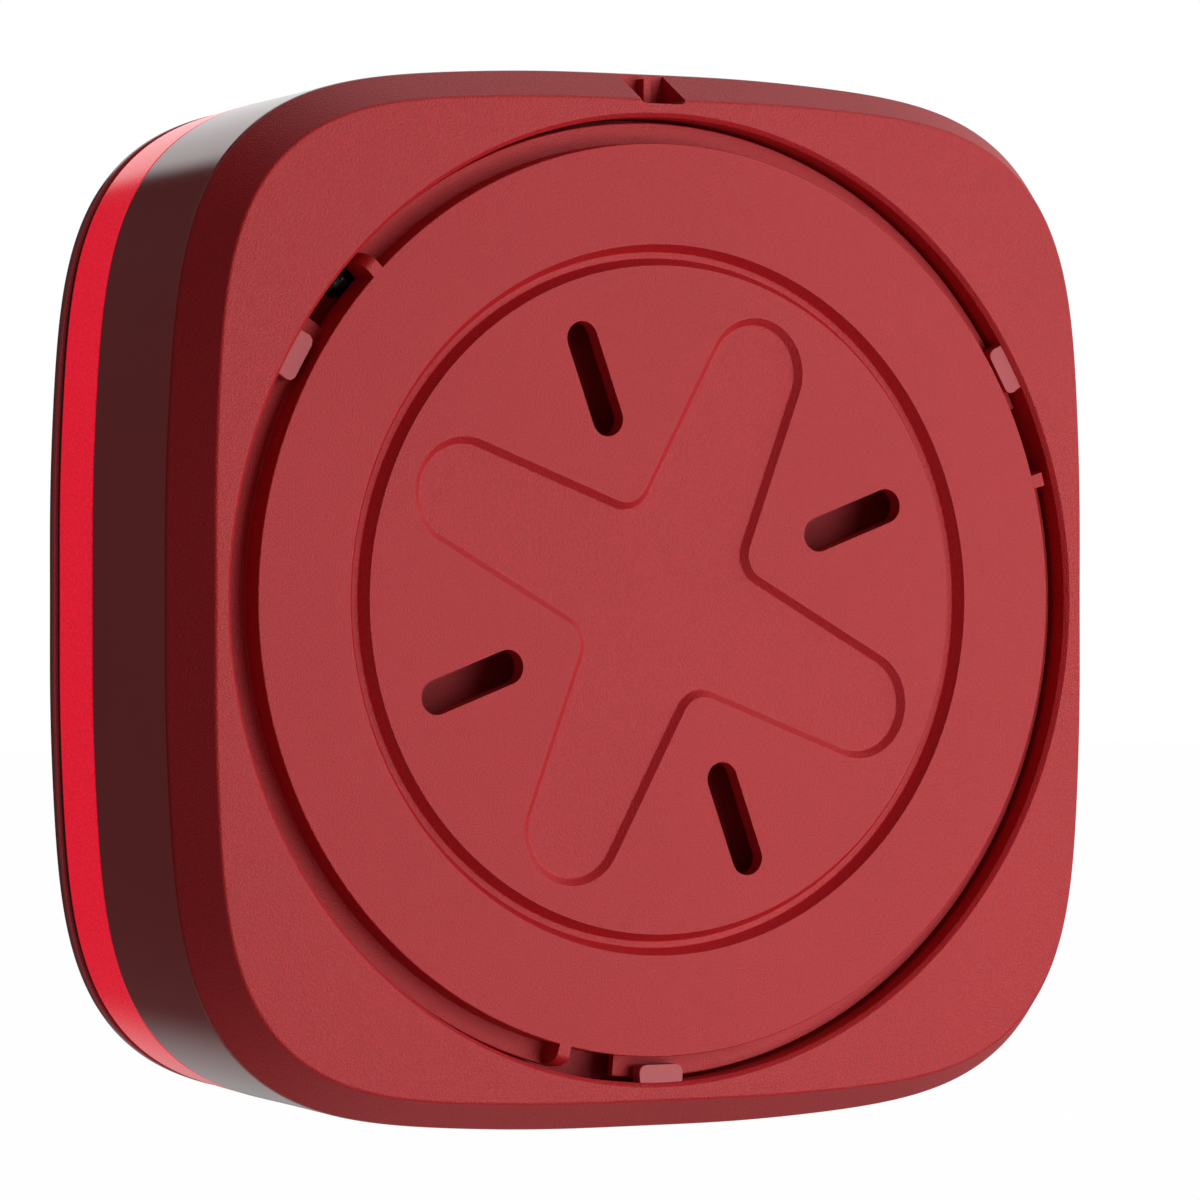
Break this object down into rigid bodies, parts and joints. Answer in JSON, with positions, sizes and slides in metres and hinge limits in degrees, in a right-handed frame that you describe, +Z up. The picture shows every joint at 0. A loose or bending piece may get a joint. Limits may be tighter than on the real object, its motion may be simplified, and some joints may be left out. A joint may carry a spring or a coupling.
{
  "type": "horn strobe",
  "caption": "Rounded-square wall horn strobe with a side light ring and front sound grille, held on a round bayonet mounting disc.",
  "frame": {"origin": "centre of the mounting disc's wall face, where the disc's screws pull it onto the wall", "axes": "+Z up, +Y towards the wall, so the front with the sound grille faces -Y"},
  "size_m": [0.165, 0.056, 0.165],
  "materials": {
    "shell_plastic": "fine matt spark-eroded grain",
    "gloss_band": "polished dark maroon",
    "ring_diffuser": "translucent red diffuser, satin",
    "cover_plastic": "polished dark maroon",
    "seal_rubber": "matt moulded rubber",
    "white_plastic": "matt white",
    "board_laminate": "solder mask over glass laminate",
    "led_package": "clear silicone lens on white package",
    "black_plastic": "moulded black plastic",
    "shield_steel": "tinned or zinc plated steel",
    "antenna_brass": "bright wire",
    "diaphragm_film": "pressed polyimide film",
    "coil_copper": "enamelled copper wire",
    "mesh_fabric": "fine woven acoustic mesh",
    "cell_can": "printed sleeve, plain",
    "clear_plastic": "polished clear polycarbonate"
  },
  "bodies": {
    "wall_disc": {"mounting_disc": "shell_plastic"},
    "housing": {"rear_shell": "shell_plastic", "side_band": "gloss_band", "light_ring": "ring_diffuser", "front_cover": "cover_plastic", "sound_grille": "cover_plastic", "front_bezel": "shell_plastic", "front_gasket": "seal_rubber", "perimeter_gasket": "seal_rubber", "ring_reflector": "white_plastic", "led_board": "board_laminate", "strobe_leds": "led_package", "main_board": "board_laminate", "processor_chip": "black_plastic", "driver_chip": "black_plastic", "radio_module": "shield_steel", "storage_capacitors": "black_plastic", "boost_inductor": "black_plastic", "antenna": "antenna_brass", "led_cable": "white_plastic", "sounder_frame": "black_plastic", "sounder_yoke": "shield_steel", "sounder_magnet": "shield_steel", "sounder_pole": "shield_steel", "horn_flare": "black_plastic", "acoustic_mesh": "mesh_fabric", "sounder_gasket": "seal_rubber", "sounder_leads": "coil_copper", "sounder_screws": "shield_steel", "battery_holder_left": "black_plastic", "battery_holder_right": "black_plastic", "battery_cells": "cell_can", "battery_contacts": "shield_steel", "battery_springs": "shield_steel", "shell_screws": "shield_steel", "board_screws": "shield_steel", "cover_screws": "shield_steel", "tamper_spring": "shield_steel", "tamper_switch": "black_plastic", "button_seal": "seal_rubber", "power_switch": "shield_steel", "status_light_pipe": "clear_plastic", "status_led": "led_package"},
    "tamper": {"tamper_plunger": "black_plastic"},
    "button": {"power_button": "white_plastic"},
    "diaphragm": {"sounder_diaphragm": "diaphragm_film", "voice_coil": "coil_copper"}
  },
  "joints": [
    {"name": "housing_turn", "type": "hinge", "parent": "wall_disc", "child": "housing", "pos_m": [0, 0, 0], "axis": [0, -1, 0], "range_deg": [0, 10]},
    {"name": "plunger_press", "type": "slide", "parent": "housing", "child": "tamper", "axis": [0, -1, 0], "range_m": [0, 0.0015], "stiffness_N_per_m": 400, "deforming": ["tamper_spring"]},
    {"name": "button_press", "type": "slide", "parent": "housing", "child": "button", "axis": [0, -1, 0], "range_m": [0, 0.0004], "stiffness_N_per_m": 1500},
    {"name": "diaphragm_stroke", "type": "slide", "parent": "housing", "child": "diaphragm", "axis": [0, -1, 0], "range_m": [-0.0004, 0.0004], "stiffness_N_per_m": 4000}
  ]
}
